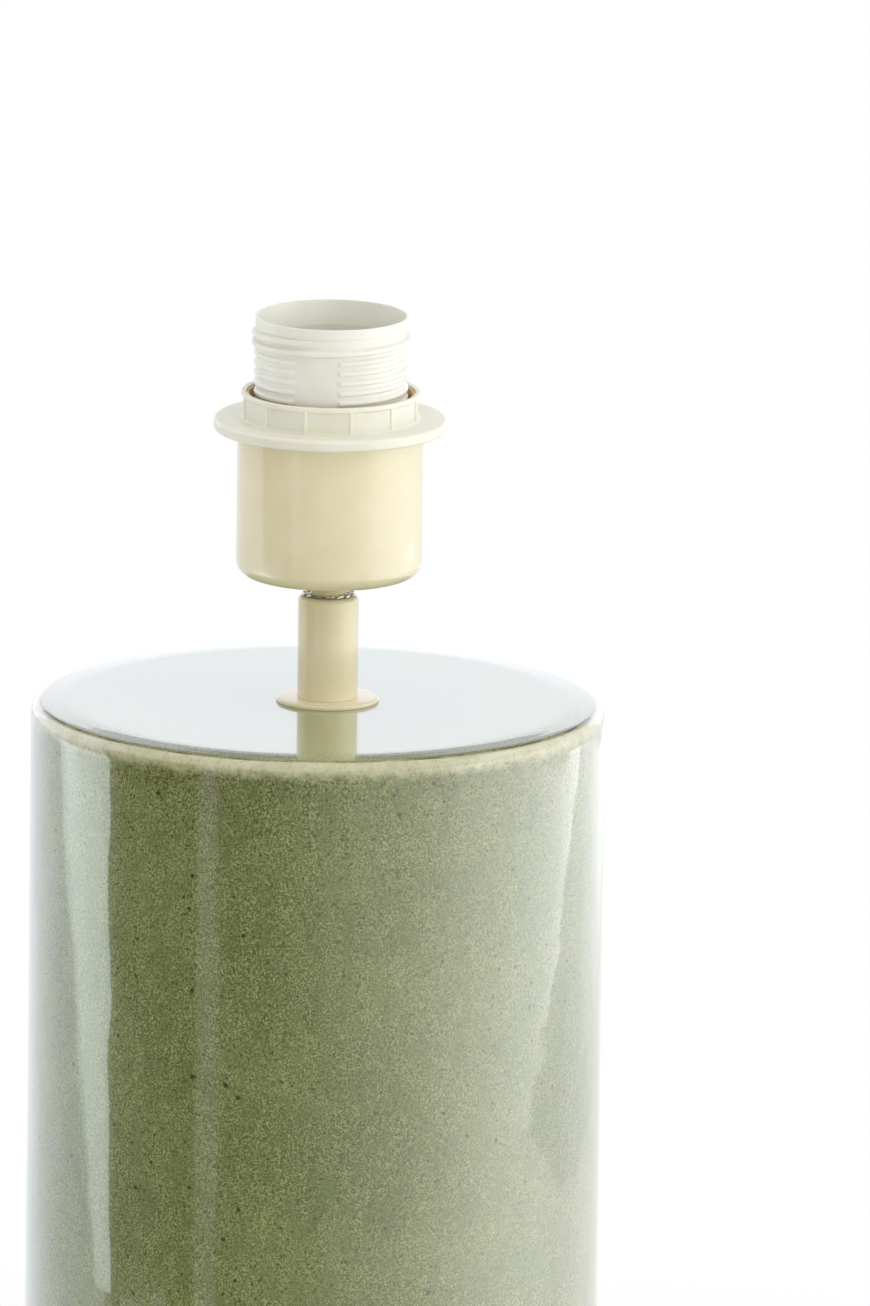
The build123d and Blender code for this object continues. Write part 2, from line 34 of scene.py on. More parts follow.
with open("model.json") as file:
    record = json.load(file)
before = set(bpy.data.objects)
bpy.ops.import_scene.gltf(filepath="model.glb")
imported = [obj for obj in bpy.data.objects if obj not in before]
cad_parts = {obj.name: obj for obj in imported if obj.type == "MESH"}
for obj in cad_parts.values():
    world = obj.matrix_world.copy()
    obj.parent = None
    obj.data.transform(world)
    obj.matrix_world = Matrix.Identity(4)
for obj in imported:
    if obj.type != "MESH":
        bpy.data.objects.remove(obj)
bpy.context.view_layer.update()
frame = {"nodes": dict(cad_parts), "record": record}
nodes = frame["nodes"]


# Shader helpers
class Shader:
    """A new material with its Principled shader, and short calls that add nodes to it."""

    def __init__(self, name):
        self.material = bpy.data.materials.new(name)
        self.material.use_nodes = True
        self.tree = self.material.node_tree
        self.surface = self.tree.nodes["Principled BSDF"]
        self.place = self.add("ShaderNodeTexCoord").outputs["Object"]

    def add(self, kind, inputs=None, **settings):
        node = self.tree.nodes.new(kind)
        for key, value in settings.items():
            setattr(node, key, value)
        for key, value in (inputs or {}).items():
            self.put(node.inputs[key], value)
        return node

    def put(self, socket, value):
        if isinstance(value, bpy.types.NodeSocket):
            self.tree.links.new(value, socket)
        elif isinstance(value, (tuple, list)) and len(value) == 3 and socket.type == "RGBA":
            socket.default_value = (*value, 1)
        else:
            socket.default_value = value

    def set(self, **sockets):
        for key, value in sockets.items():
            self.put(self.surface.inputs[key.replace("_", " ")], value)

    def math(self, operation, first, second=0.0):
        node = self.add("ShaderNodeMath", operation=operation)
        self.put(node.inputs[0], first)
        self.put(node.inputs[1], second)
        return node.outputs[0]

    def length(self, x, y):
        squares = [self.math("MULTIPLY", part, part) for part in (x, y)]
        return self.math("SQRT", self.math("ADD", *squares))

    def swing(self, value, span):
        """Swing of a noise about its middle, times span."""
        return self.math("MULTIPLY", self.math("SUBTRACT", value, 0.5), span)

    def mix(self, share, low, high):
        node = self.add("ShaderNodeMix", data_type="RGBA")
        self.put(node.inputs[0], share)
        self.put(node.inputs[6], low)
        self.put(node.inputs[7], high)
        return node.outputs[2]

    def band(self, value, low, high, from_low=0.0, to_high=1.0):
        """Smooth step of value between low and high."""
        node = self.add("ShaderNodeMapRange", interpolation_type="SMOOTHSTEP")
        for socket, number in zip(node.inputs[:5], (value, low, high, from_low, to_high)):
            self.put(socket, number)
        return node.outputs[0]

    def noise(self, size, detail=2.0, rough=0.5, stretch=None):
        """Noise with features of about size millimetres."""
        place = self.place
        if stretch:
            mapping = self.add("ShaderNodeMapping", {"Vector": place, "Scale": stretch})
            place = mapping.outputs[0]
        node = self.add(
            "ShaderNodeTexNoise",
            {"Vector": place, "Scale": 1 / (size * MM), "Detail": detail, "Roughness": rough},
        )
        return node.outputs["Fac"]

    def cells(self, size):
        """Voronoi cells of about size millimetres: distance in millimetres, random colour."""
        node = self.add("ShaderNodeTexVoronoi", {"Vector": self.place, "Scale": 1 / (size * MM)})
        return self.math("MULTIPLY", node.outputs["Distance"], size), node.outputs["Color"]

    def parts(self, vector):
        return self.add("ShaderNodeSeparateXYZ", {"Vector": vector}).outputs

    def bump(self, height, depth, normal=None):
        """Bump whose height of 1 stands depth millimetres proud."""
        inputs = {"Height": height, "Distance": depth * MM, "Strength": 1.0}
        if normal:
            inputs["Normal"] = normal
        return self.add("ShaderNodeBump", inputs).outputs[0]


def srgb(red, green, blue):
    """Linear colour of an 8-bit screen colour."""
    return tuple(
        ((c / 255 + 0.055) / 1.055) ** 2.4 if c > 10 else c / 255 / 12.92
        for c in (red, green, blue)
    )


# Glaze zones in millimetres: the height of the body's top, and depths below it
BODY_TOP = 252.5
TOP_DEPTH = (0.8, 0.5)
BAND_DEPTH = (5.6, 1.6)
FRINGE_DEPTH = (11.0, 6.5)
SPECK_DEPTH = (30, 5)
# Radii on the top: where it starts to fall off, and the dark line at its edge
FALL_FROM = 60.5
FLAT_END = (FALL_FROM + 5.0, FALL_FROM - 4.0)
RIM_OUT = 68.6
MOTTLE_END = (RIM_OUT + 0.3, RIM_OUT - 0.3)
LINE_HALF = (0.4, 0.2)


def near_top(s, height, depths):
    """Smooth step from 0 at the first depth below the body's top to 1 at the second."""
    start, full = depths
    return s.band(height, BODY_TOP - start, BODY_TOP - full)


def glaze_fields(s):
    """Places, in millimetres, and noises that the layers of the glaze share."""
    x, y, z = s.parts(s.place)
    height = s.math("DIVIDE", z, MM)
    grain = s.noise(0.34, 2, 0.7)
    curd = s.noise(0.54, 3, 0.65)
    return SimpleNamespace(
        height=height,
        reach=s.math("DIVIDE", s.length(x, y), MM),
        cloud=s.noise(30, 3, 0.55),
        patch=s.noise(5, 3, 0.6, stretch=(1, 1, 0.6)),
        run=s.noise(3.2, 3, 0.6, stretch=(1, 1, 0.1)),
        grain=grain,
        curd=curd,
        net=s.math("ADD", s.math("MULTIPLY", curd, 0.55), s.math("MULTIPLY", grain, 0.45)),
        high=near_top(s, height, SPECK_DEPTH),
        top=near_top(s, height, TOP_DEPTH),
    )


def curdled_green(s, f):
    """Green ground under a curdled network of paler glaze, which is weak on some patches."""
    green = s.mix(s.band(f.cloud, 0.38, 0.62), srgb(96, 109, 59), srgb(107, 118, 67))
    green = s.mix(s.band(f.run, 0.5, 0.7, 0, 0.5), green, srgb(95, 108, 65))
    strong = s.band(f.patch, 0.34, 0.58, 0.5, 1.0)
    pale = s.math("MULTIPLY", s.band(f.net, 0.475, 0.585), strong)
    ground = s.mix(pale, green, s.mix(f.cloud, srgb(155, 156, 102), srgb(161, 164, 110)))
    dark = s.math("MULTIPLY", s.band(f.net, 0.47, 0.375), strong)
    rusty = s.math("MULTIPLY", f.high, s.band(f.run, 0.42, 0.6, 0.15, 1.0))
    shade = s.mix(rusty, srgb(78, 80, 38), srgb(94, 78, 38))
    return s.mix(s.math("MULTIPLY", dark, 0.85), ground, shade)


def brown_dots(s, f):
    """Share of small ragged brown dots, thicker near the top edge."""
    dots, tint = s.cells(0.9)
    ragged = s.math("ADD", dots, s.swing(f.curd, 1.1))
    drip = s.band(f.run, 0.5, 0.64, 0, 0.4)
    likely = s.math("MULTIPLY", f.high, s.math("ADD", drip, 0.16))
    chosen = s.band(s.math("ADD", s.parts(tint)[2], likely), 0.82, 0.98, 0, 0.7)
    return s.math("MULTIPLY", s.band(ragged, 0.5, 0.28), chosen)


def large_specks(s, f, ground):
    """Scattered larger specks of uneven size over the ground."""
    spot, tint = s.cells(4.2)
    pick = s.parts(tint)
    size = s.math("ADD", s.math("MULTIPLY", pick[0], 0.4), 0.28)
    ragged = s.math("ADD", spot, s.swing(f.grain, 0.6))
    speck = s.band(s.math("SUBTRACT", ragged, size), 0.1, -0.12)
    speck = s.math("MULTIPLY", speck, s.band(pick[1], 0.55, 0.6, 0, 0.9))
    return s.mix(speck, ground, s.mix(pick[2], srgb(70, 54, 24), srgb(52, 54, 26)))


def beige_edge(s, f, ground, brown):
    """Beige band where the glaze thins over the edge, ragged below, with brown blotches."""
    ragged = s.math("ADD", f.height, s.swing(s.noise(3, 4, 0.7), 5.0))
    blotch = s.band(s.noise(1.5, 3, 0.7, stretch=(1, 1, 0.6)), 0.54, 0.64, 0, 0.8)
    fringe = s.math("MULTIPLY", near_top(s, ragged, FRINGE_DEPTH), blotch)
    ground = s.mix(fringe, ground, srgb(106, 88, 46))
    beige = s.mix(s.band(f.patch, 0.35, 0.65), srgb(212, 208, 172), srgb(194, 192, 150))
    beige = s.mix(s.math("MULTIPLY", brown, 0.25), beige, srgb(96, 78, 40))
    return s.mix(s.math("MULTIPLY", near_top(s, ragged, BAND_DEPTH), 0.85), ground, beige)


def glazed_top(s, f, ground):
    """The top: calm where it is flat, mottled where it falls off, a dark line at its edge."""
    mottle = s.mix(s.band(f.net, 0.46, 0.54), srgb(102, 114, 62), srgb(170, 168, 114))
    within = s.math("MULTIPLY", f.top, s.band(f.reach, *MOTTLE_END))
    ground = s.mix(within, ground, mottle)
    flat = s.math("MULTIPLY", f.top, s.band(f.reach, *FLAT_END))
    plain = s.mix(s.band(f.net, 0.42, 0.58), srgb(122, 135, 84), srgb(154, 160, 112))
    ground = s.mix(flat, ground, plain)
    broken = s.band(s.noise(8, 3, 0.6), 0.42, 0.56, 0.2, 0.95)
    off = s.math("ABSOLUTE", s.math("SUBTRACT", f.reach, RIM_OUT))
    line = s.math("MULTIPLY", s.band(off, *LINE_HALF), f.top)
    return s.mix(s.math("MULTIPLY", line, broken), ground, srgb(92, 84, 44))


def glaze():
    """Reactive glaze: green with a pale network, brown specks and a beige edge band."""
    s = Shader("glaze")
    f = glaze_fields(s)
    brown = brown_dots(s, f)
    ground = curdled_green(s, f)
    ground = s.mix(brown, ground, s.mix(f.high, srgb(70, 70, 30), srgb(80, 70, 32)))
    ground = large_specks(s, f, ground)
    ground = beige_edge(s, f, ground, brown)
    ground = glazed_top(s, f, ground)
    peel = s.noise(2.2, 2, 0.5)
    wave = s.noise(11, 1, 0.4, stretch=(1, 1, 0.45))
    wall_wave = s.math("MULTIPLY", wave, s.math("SUBTRACT", 1.0, f.top))
    rippled = s.bump(peel, 0.006, s.bump(wall_wave, 0.14))
    s.set(
        Base_Color=ground,
        Roughness=s.band(f.grain, 0.2, 0.8, 0.14, 0.24),
        Normal=s.bump(f.grain, 0.002, rippled),
        Coat_Weight=1.0,
        Coat_Roughness=0.03,
        Coat_Normal=rippled,
        IOR=1.5,
    )
    return s.material


def bisque():
    """Unglazed clay inside the body and under its foot."""
    s = Shader("bisque")
    grain = s.noise(0.35, 3, 0.7)
    cloud = s.noise(18, 3, 0.5)
    colour = s.mix(s.band(cloud, 0.35, 0.65), srgb(196, 180, 152), srgb(210, 196, 170))
    colour = s.mix(s.band(grain, 0.45, 0.75, 0, 0.4), colour, srgb(164, 146, 116))
    s.set(Base_Color=colour, Roughness=0.85, Normal=s.bump(grain, 0.05))
    return s.material


def cream_paint():
    """Semi-gloss stove paint with a faint orange peel and a few nibs of dust."""
    s = Shader("cream_paint")
    peel = s.noise(0.9, 2, 0.5)
    cloud = s.noise(9, 2, 0.5)
    dust, tint = s.cells(2.4)
    colour = s.mix(s.band(cloud, 0.3, 0.7), srgb(235, 223, 186), srgb(239, 228, 193))
    chosen = s.band(s.parts(tint)[0], 0.93, 0.95, 0, 0.5)
    nib = s.math("MULTIPLY", s.band(dust, 0.16, 0.06), chosen)
    colour = s.mix(nib, colour, srgb(180, 168, 132))
    s.set(
        Base_Color=colour,
        Roughness=s.band(peel, 0.2, 0.8, 0.13, 0.19),
        Normal=s.bump(nib, 0.02, s.bump(peel, 0.003)),
        IOR=1.5,
        Coat_Weight=0.15,
        Coat_Roughness=0.08,
    )
    return s.material


def plastic(name, low, high):
    """Moulded thermoplastic with a fine grain that lets a little light through."""
    s = Shader(name)
    grain = s.noise(0.18, 2, 0.6)
    flow = s.noise(7, 2, 0.5)
    s.set(
        Base_Color=s.mix(s.band(flow, 0.3, 0.7), low, high),
        Roughness=s.band(flow, 0.3, 0.7, 0.33, 0.4),
        Normal=s.bump(grain, 0.0015, s.bump(s.noise(3.5, 1, 0.5), 0.008)),
        IOR=1.5,
        Subsurface_Weight=0.5,
        Subsurface_Radius=(1.0, 0.95, 0.75),
        Subsurface_Scale=0.001,
    )
    return s.material


def zinc():
    """Bright zinc plate, lightly stained."""
    s = Shader("zinc")
    cloud = s.noise(2.5, 3, 0.6)
    scratch = s.noise(0.5, 2, 0.7, stretch=(1, 1, 6))
    colour = s.mix(s.band(cloud, 0.35, 0.65), srgb(198, 198, 186), srgb(168, 168, 154))
    s.set(
        Base_Color=colour,
        Metallic=1.0,
        Roughness=s.band(cloud, 0.3, 0.7, 0.28, 0.4),
        Normal=s.bump(scratch, 0.006),
    )
    return s.material


def metal(name, bright, dull, shine):
    """Pressed brass or nickelled brass with fine draw lines and faint tarnish."""
    s = Shader(name)
    tarnish = s.noise(3, 3, 0.6)
    lines = s.noise(0.25, 2, 0.6, stretch=(1, 1, 0.08))
    s.set(
        Base_Color=s.mix(s.band(tarnish, 0.4, 0.7), bright, dull),
        Metallic=1.0,
        Roughness=s.band(tarnish, 0.3, 0.7, shine, shine + 0.12),
        Normal=s.bump(lines, 0.003),
    )
    return s.material


def fibre_with_painted_shade():
    """Tan pressed fibre with short strands in it; the tan also paints the warm shade inside the
    ring's collar.
    """
    s = Shader("tan_fibre")
    strand = s.noise(0.3, 3, 0.7, stretch=(1, 1, 0.2))
    cloud = s.noise(2, 2, 0.5)
    colour = s.mix(s.band(strand, 0.35, 0.7), srgb(226, 198, 160), srgb(200, 166, 124))
    colour = s.mix(s.band(cloud, 0.45, 0.7, 0, 0.4), colour, srgb(232, 210, 180))
    s.set(Base_Color=colour, Roughness=0.75, Normal=s.bump(strand, 0.02))
    return s.material


def rubber(name, low, high):
    """Moulded rubber with a dusty bloom."""
    s = Shader(name)
    bloom = s.noise(3, 3, 0.6)
    grain = s.noise(0.15, 2, 0.6)
    s.set(
        Base_Color=s.mix(s.band(bloom, 0.4, 0.7), low, high),
        Roughness=s.band(bloom, 0.3, 0.7, 0.55, 0.75),
        Normal=s.bump(grain, 0.006),
    )
    return s.material


def carrier_plastic():
    """Matte insulating plastic of the contact carrier."""
    s = Shader("carrier_plastic")
    grain = s.noise(0.2, 3, 0.6)
    flow = s.noise(4, 2, 0.5)
    s.set(
        Base_Color=s.mix(s.band(flow, 0.3, 0.7), srgb(220, 219, 208), srgb(210, 208, 194)),
        Roughness=0.6,
        Normal=s.bump(grain, 0.006),
    )
    return s.material


materials = {
    "glaze": glaze(),
    "bisque": bisque(),
    "cream_paint": cream_paint(),
    "white_plastic": plastic("white_plastic", srgb(237, 236, 224), srgb(241, 240, 230)),
    "ring_plastic": plastic("ring_plastic", srgb(235, 232, 214), srgb(239, 237, 221)),
    "zinc": zinc(),
    "shell_metal": metal("shell_metal", srgb(214, 200, 160), srgb(176, 158, 112), 0.2),
    "brass": metal("brass", srgb(216, 180, 104), srgb(170, 134, 70), 0.24),
    # The liner's tan fibre also stands in for the warm shade inside the ring's collar
    "tan_fibre": fibre_with_painted_shade(),
    "pad_rubber": rubber("pad_rubber", srgb(58, 57, 55), srgb(80, 78, 74)),
    "grommet_rubber": rubber("grommet_rubber", srgb(34, 34, 34), srgb(52, 51, 49)),
    "carrier_plastic": carrier_plastic(),
}

for part in frame["record"]["subparts"]:
    for material_slot in nodes[part["node"]].material_slots:
        material_slot.material = materials[part["material_slot"]]

body_of = {
    node: body
    for body, members in frame["record"]["behaviour"]["bodies"].items()
    for node in members
}

# Turned meshes
ARC_STEPS = 6
SHARP_ANGLE = radians(40)
# Small edge rounds, in millimetres
FINE, CRISP, EASED, SOFT = 0.1, 0.15, 0.2, 0.3


def outline(points, step=None):
    """Closed section from (radius, height, corner round) points, arcs and long runs divided."""
    path = []
    for i, (r, z, corner) in enumerate(points):
        here = Vector((r, z))
        if corner <= 0:
            path.append(here)
            continue
        back = (Vector(points[i - 1][:2]) - here).normalized()
        on = (Vector(points[(i + 1) % len(points)][:2]) - here).normalized()
        half = back.angle(on) / 2
        centre = here + (back + on).normalized() * corner / sin(half)
        start = here + back * corner / tan(half) - centre
        turn = start.angle_signed(here + on * corner / tan(half) - centre)
        for k in range(ARC_STEPS + 1):
            path.append(centre + Matrix.Rotation(-turn * k / ARC_STEPS, 2) @ start)
    if not step:
        return path
    fine = []
    for i, here in enumerate(path):
        to = path[(i + 1) % len(path)]
        parts = max(1, ceil((to - here).length / step))
        fine += [here.lerp(to, k / parts) for k in range(parts)]
    return fine


def mesh_object(name, verts, faces):
    """New mesh object in the scene."""
    mesh = bpy.data.meshes.new(name)
    mesh.from_pydata(verts, [], faces)
    thing = bpy.data.objects.new(name, mesh)
    bpy.context.collection.objects.link(thing)
    return thing


def face_outwards(piece):
    """Turns every face outwards, from the sign of the mesh's volume."""
    work = bmesh.new()
    work.from_mesh(piece.data)
    if work.calc_volume(signed=True) < 0:
        bmesh.ops.reverse_faces(work, faces=work.faces)
    work.to_mesh(piece.data)
    work.free()


def mesh_piece(name, verts, faces, slot, node=None, material=None):
    """New smooth-shaded piece with its material, riding on its node's body."""
    piece = mesh_object(name, verts, faces)
    mesh = piece.data
    mesh.validate()
    mesh.materials.append(materials[material or slot])
    face_outwards(piece)
    mesh.shade_smooth()
    mesh.set_sharp_from_angle(angle=SHARP_ANGLE)
    if node:
        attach(piece, body_of[node])
        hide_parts(node)
    return piece


def turned(name, path, segments, slot, axis_x=STEM_X, shape=None, node=None, material=None):
    """Solid of revolution of a closed path in millimetres; shape(angle, r, z) reshapes it."""
    verts = []
    for i in range(segments):
        angle = 2 * pi * i / segments
        c, s = cos(angle), sin(angle)
        for r, z in path:
            if shape:
                r, z = shape(angle, r, z)
            verts.append(((axis_x + r * c) * MM, r * s * MM, z * MM))
    rows = len(path)
    faces = []
    for i in range(segments):
        one, two = i * rows, (i + 1) % segments * rows
        for j in range(rows):
            k = (j + 1) % rows
            faces.append((one + j, two + j, two + k, one + k))
    return mesh_piece(name, verts, faces, slot, node, material)


def smooth(low, high, value):
    """Smooth step from 0 at low to 1 at high."""
    t = min(1, max(0, (value - low) / (high - low)))
    return t * t * (3 - 2 * t)


def helix_height(angle, z, start, pitch, turns, base_w, crest_w, fade=0.12):
    """0 to 1 height of a helical ridge at a place, rounded, fading out at its ends."""
    turn = (z - start) / pitch
    k = round(turn - angle / (2 * pi))
    at = angle / (2 * pi) + k
    off = abs(turn - at) * pitch
    if off >= base_w / 2 or at < 0 or at > turns:
        return 0
    flank = 1 - smooth(crest_w / 2, base_w / 2, off)
    return flank * smooth(0, fade, at) * smooth(0, fade, turns - at)


# Ceramic body, millimetres
BODY_R = 71
BODY_WALL = 6
BODY_INNER_R = BODY_R - BODY_WALL
BODY_FOOT = 2.5
FOOT_TOP = BODY_FOOT + BODY_WALL
TOP_THICK = 7
TOP_UNDER = BODY_TOP - TOP_THICK
FOOT_HOLE_R = 46
STEM_HOLE_R = 7.5
TOP_ROUND = 3.0
FOOT_ROUND = 2.0
FOOT_HOLE_ROUND = 1.5
CAVITY_ROUND = 5.0
STEM_HOLE_ROUND = 0.6
STEM_HOLE_UNDER_ROUND = 0.4
BODY_STEP = 1.6
BODY_SEGMENTS = 288
# Fall of the top from its flat middle to its edge, which fades in between two heights
EDGE_FALL = 0.4
FALL_TO = RIM_OUT + 1
FALL_HEIGHTS = (246, 250)
# Waves of the wall outside this radius, as depth, pace round the wall, height and shift
WALL_FROM = 66
WALL_WAVES = ((0.14, 1.3, 70, 0), (0.06, 5, 26, 0), (0.02, 9, 9, 40))
# Mean draw of a wave, as a share of its depth
MEAN_SHARE = 0.6
# Bare clay shows inside this radius and below this height, and under the foot
CLAY_R = 65.6
CLAY_TOP = 250.5
CLAY_FOOT = 3.4
CABLE_HOLE = (0, BODY_R - BODY_WALL / 2, 26.5)
CABLE_HOLE_R = 5.5
CUTTER_LENGTH = 14
CUTTER_SIDES = 48


def wavy_body(angle, r, z):
    """Wall drawn in by the thrower's hand, never out, and a top that falls near its edge."""
    if z > FALL_HEIGHTS[0]:
        z -= EDGE_FALL * smooth(FALL_FROM, FALL_TO, r) * smooth(*FALL_HEIGHTS, z)
    if r < WALL_FROM:
        return r, z
    c, s = cos(angle), sin(angle)
    draw = 0
    for depth, pace, tall, shift in WALL_WAVES:
        wave = noise.noise(Vector((c * pace, s * pace, z / tall + shift)))
        draw += depth * (MEAN_SHARE + wave)
    return r - max(0, draw), z


def bore_cutter(centre, radius, length):
    """Plain cylinder along Y that only serves to cut a hole."""
    verts = []
    for end in (-length / 2, length / 2):
        for i in range(CUTTER_SIDES):
            a = 2 * pi * i / CUTTER_SIDES
            x, y, z = centre[0] + radius * cos(a), centre[1] + end, centre[2] + radius * sin(a)
            verts.append((x * MM, y * MM, z * MM))
    last = 2 * CUTTER_SIDES - 1
    faces = [tuple(range(CUTTER_SIDES)), tuple(range(last, CUTTER_SIDES - 1, -1))]
    for i in range(CUTTER_SIDES):
        k = (i + 1) % CUTTER_SIDES
        faces.append((i, i + CUTTER_SIDES, k + CUTTER_SIDES, k))
    cutter = mesh_object("cutter", verts, faces)
    face_outwards(cutter)
    return cutter


def cut_away(piece, cutter):
    """Takes the cutter's shape out of the piece and deletes the cutter."""
    cut = piece.modifiers.new("cut", "BOOLEAN")
    cut.operation = "DIFFERENCE"
    cut.solver = "EXACT"
    cut.object = cutter
    graph = bpy.context.evaluated_depsgraph_get()
    mesh = bpy.data.meshes.new_from_object(piece.evaluated_get(graph))
    piece.modifiers.clear()
    piece.data = mesh
    bpy.data.objects.remove(cutter)


def ceramic_body():
    """The glazed cylinder, with its cable hole cut through the back."""
    path = outline(
        [
            (STEM_HOLE_R, BODY_TOP, STEM_HOLE_ROUND),
            (BODY_R, BODY_TOP, TOP_ROUND),
            (BODY_R, BODY_FOOT, FOOT_ROUND),
            (FOOT_HOLE_R, BODY_FOOT, FOOT_HOLE_ROUND),
            (FOOT_HOLE_R, FOOT_TOP, FOOT_HOLE_ROUND),
            (BODY_INNER_R, FOOT_TOP, CAVITY_ROUND),
            (BODY_INNER_R, TOP_UNDER, CAVITY_ROUND),
            (STEM_HOLE_R, TOP_UNDER, STEM_HOLE_UNDER_ROUND),
        ],
        step=BODY_STEP,
    )
    piece = turned("glazed_body", path, BODY_SEGMENTS, "glaze", axis_x=0, shape=wavy_body)
    cut_away(piece, bore_cutter(CABLE_HOLE, CABLE_HOLE_R, CUTTER_LENGTH))
    mesh = piece.data
    mesh.materials.clear()
    mesh.materials.append(materials["glaze"])
    mesh.materials.append(materials["bisque"])
    for face in mesh.polygons:
        middle = face.center / MM
        inside = hypot(middle.x, middle.y) < CLAY_R and middle.z < CLAY_TOP
        face.material_index = 1 if inside or middle.z < CLAY_FOOT else 0
    mesh.shade_smooth()
    mesh.set_sharp_from_angle(angle=SHARP_ANGLE)
    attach(piece, "base")
    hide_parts("ceramic_body")


ceramic_body()

# Painted stem and cup, millimetres
TUBE_HOLE_R = 5.15
ROSETTE_R = 12.7
ROSETTE_THICK = 1.0
ROSETTE_TOP = BODY_TOP + ROSETTE_THICK
ROSETTE_ROUND = 0.45
NECK_R = 7.5
NECK_BORE_R = 6.3
NECK_TOP = 279.2
NECK_TOP_ROUND = 1.2
# The neck's top end has a narrower bore over this length
NECK_END_BORE_R = 5.0
NECK_END_LENGTH = 8
NECK_END_UNDER = NECK_TOP - NECK_END_LENGTH
CUP_R = 22.95
CUP_WALL = 1.0
CUP_INNER_R = CUP_R - CUP_WALL
CUP_UNDER = 284.3
CUP_FLOOR = CUP_UNDER + CUP_WALL
CUP_TOP = 320.75
CUP_ROUND = 3.75
CUP_INNER_ROUND = CUP_ROUND - CUP_WALL
CUP_LIP_ROUND = 0.4
TUBE_R = 4.95
TUBE_BORE_R = 3.8
TUBE_FOOT = 231
TUBE_TOP = 293.8
STEM_SEGMENTS = 128
CUP_SEGMENTS = 192
TUBE_SEGMENTS = 72
THREAD_STEP = 0.125
# The tube's thread is cut into it outside this radius
TUBE_SIDE_R = 4.5
TUBE_PITCH = 1.0
TUBE_THREAD_DEPTH = 0.55

turned(
    "rosette",
    outline(
        [
            (TUBE_HOLE_R, BODY_TOP, 0),
            (ROSETTE_R, BODY_TOP, CRISP),
            (ROSETTE_R, ROSETTE_TOP, ROSETTE_ROUND),
            (TUBE_HOLE_R, ROSETTE_TOP, 0),
        ]
    ),
    STEM_SEGMENTS,
    "cream_paint",
    node="neck_rosette",
)
turned(
    "neck",
    outline(
        [
            (NECK_BORE_R, ROSETTE_TOP, 0),
            (NECK_R, ROSETTE_TOP, CRISP),
            (NECK_R, NECK_TOP, NECK_TOP_ROUND),
            (NECK_END_BORE_R, NECK_TOP, EASED),
            (NECK_END_BORE_R, NECK_END_UNDER, 0),
            (NECK_BORE_R, NECK_END_UNDER, 0),
        ]
    ),
    STEM_SEGMENTS,
    "cream_paint",
    node="neck_tube",
)
turned(
    "cup_shell",
    outline(
        [
            (TUBE_HOLE_R, CUP_UNDER, FINE),
            (CUP_R, CUP_UNDER, CUP_ROUND),
            (CUP_R, CUP_TOP, CUP_LIP_ROUND),
            (CUP_INNER_R, CUP_TOP, CUP_LIP_ROUND),
            (CUP_INNER_R, CUP_FLOOR, CUP_INNER_ROUND),
            (TUBE_HOLE_R, CUP_FLOOR, FINE),
        ]
    ),
    CUP_SEGMENTS,
    "cream_paint",
    node="cup",
)


def tube_thread(angle, r, z):
    """M10x1 thread with a wavy section, cut into the tube's outside."""
    if r < TUBE_SIDE_R:
        return r, z
    turn = z / TUBE_PITCH - angle / (2 * pi)
    return r - TUBE_THREAD_DEPTH * (0.5 - 0.5 * cos(2 * pi * turn)), z


turned(
    "tie_tube",
    outline(
        [
            (TUBE_BORE_R, TUBE_FOOT, 0),
            (TUBE_R, TUBE_FOOT, SOFT),
            (TUBE_R, TUBE_TOP, SOFT),
            (TUBE_BORE_R, TUBE_TOP, 0),
        ],
        step=THREAD_STEP,
    ),
    TUBE_SEGMENTS,
    "cream_paint",
    shape=tube_thread,
    node="threaded_tube",
)

# Star washer on the neck, millimetres
TEETH = 14
TOOTH_STEPS = 12
TOOTH_SHARE = 0.62
TOOTH_TWIST = 0.14
TWIST_RADII = (5.5, 6.2)
WASHER_RINGS = (TUBE_HOLE_R, 5.5, 5.75, 6.0, 6.35)
WASHER_MIDDLE = 279.62
WASHER_THICK = 0.3
# Between teeth, the rings outside the root close up on it to this share of their distance
WASHER_ROOT = 5.62
GAP_SHARE = 0.02


def lock_washer():
    """Thin star washer whose teeth are twisted out of its plane."""
    verts, faces = [], []
    count = TEETH * TOOTH_STEPS
    for side in (-1, 1):
        for i in range(count):
            angle = 2 * pi * i / count
            within = (i % TOOTH_STEPS) / TOOTH_STEPS * 2 - 1
            tooth = abs(within) < TOOTH_SHARE
            lean = TOOTH_TWIST * within / TOOTH_SHARE if tooth else 0
            for r in WASHER_RINGS:
                out = r if tooth else min(r, WASHER_ROOT + (r - WASHER_ROOT) * GAP_SHARE)
                z = WASHER_MIDDLE + lean * smooth(*TWIST_RADII, out) + side * WASHER_THICK / 2
                verts.append(((STEM_X + out * cos(angle)) * MM, out * sin(angle) * MM, z * MM))
    rows = len(WASHER_RINGS)
    half = count * rows
    for i in range(count):
        one, two = i * rows, (i + 1) % count * rows
        for j in range(rows - 1):
            faces.append((one + j, one + j + 1, two + j + 1, two + j))
            faces.append((half + one + j, half + two + j, half + two + j + 1, half + one + j + 1))
        for j, flip in ((0, True), (rows - 1, False)):
            quad = (one + j, half + one + j, half + two + j, two + j)
            faces.append(quad[::-1] if flip else quad)
    mesh_piece("star_washer", verts, faces, "zinc", node="neck_lock_washer")


lock_washer()

# Lampholder skirt, millimetres
SKIRT_ROOT_R = 18.45
SKIRT_BORE_R = 15.35
SKIRT_FOOT = 302.5
SKIRT_FOOT_R = 17.3
SKIRT_SHOULDER = 309.5
SKIRT_FLOOR = 336.5
MOUTH_R = 17.3
MOUTH_LIP_R = 18.4
MOUTH_TAPER_FROM = 343.7
RIM_R = 18.8
RIM_FOOT = 347.1
RIM_TOP = 349.7
SKIRT_SEGMENTS = 300
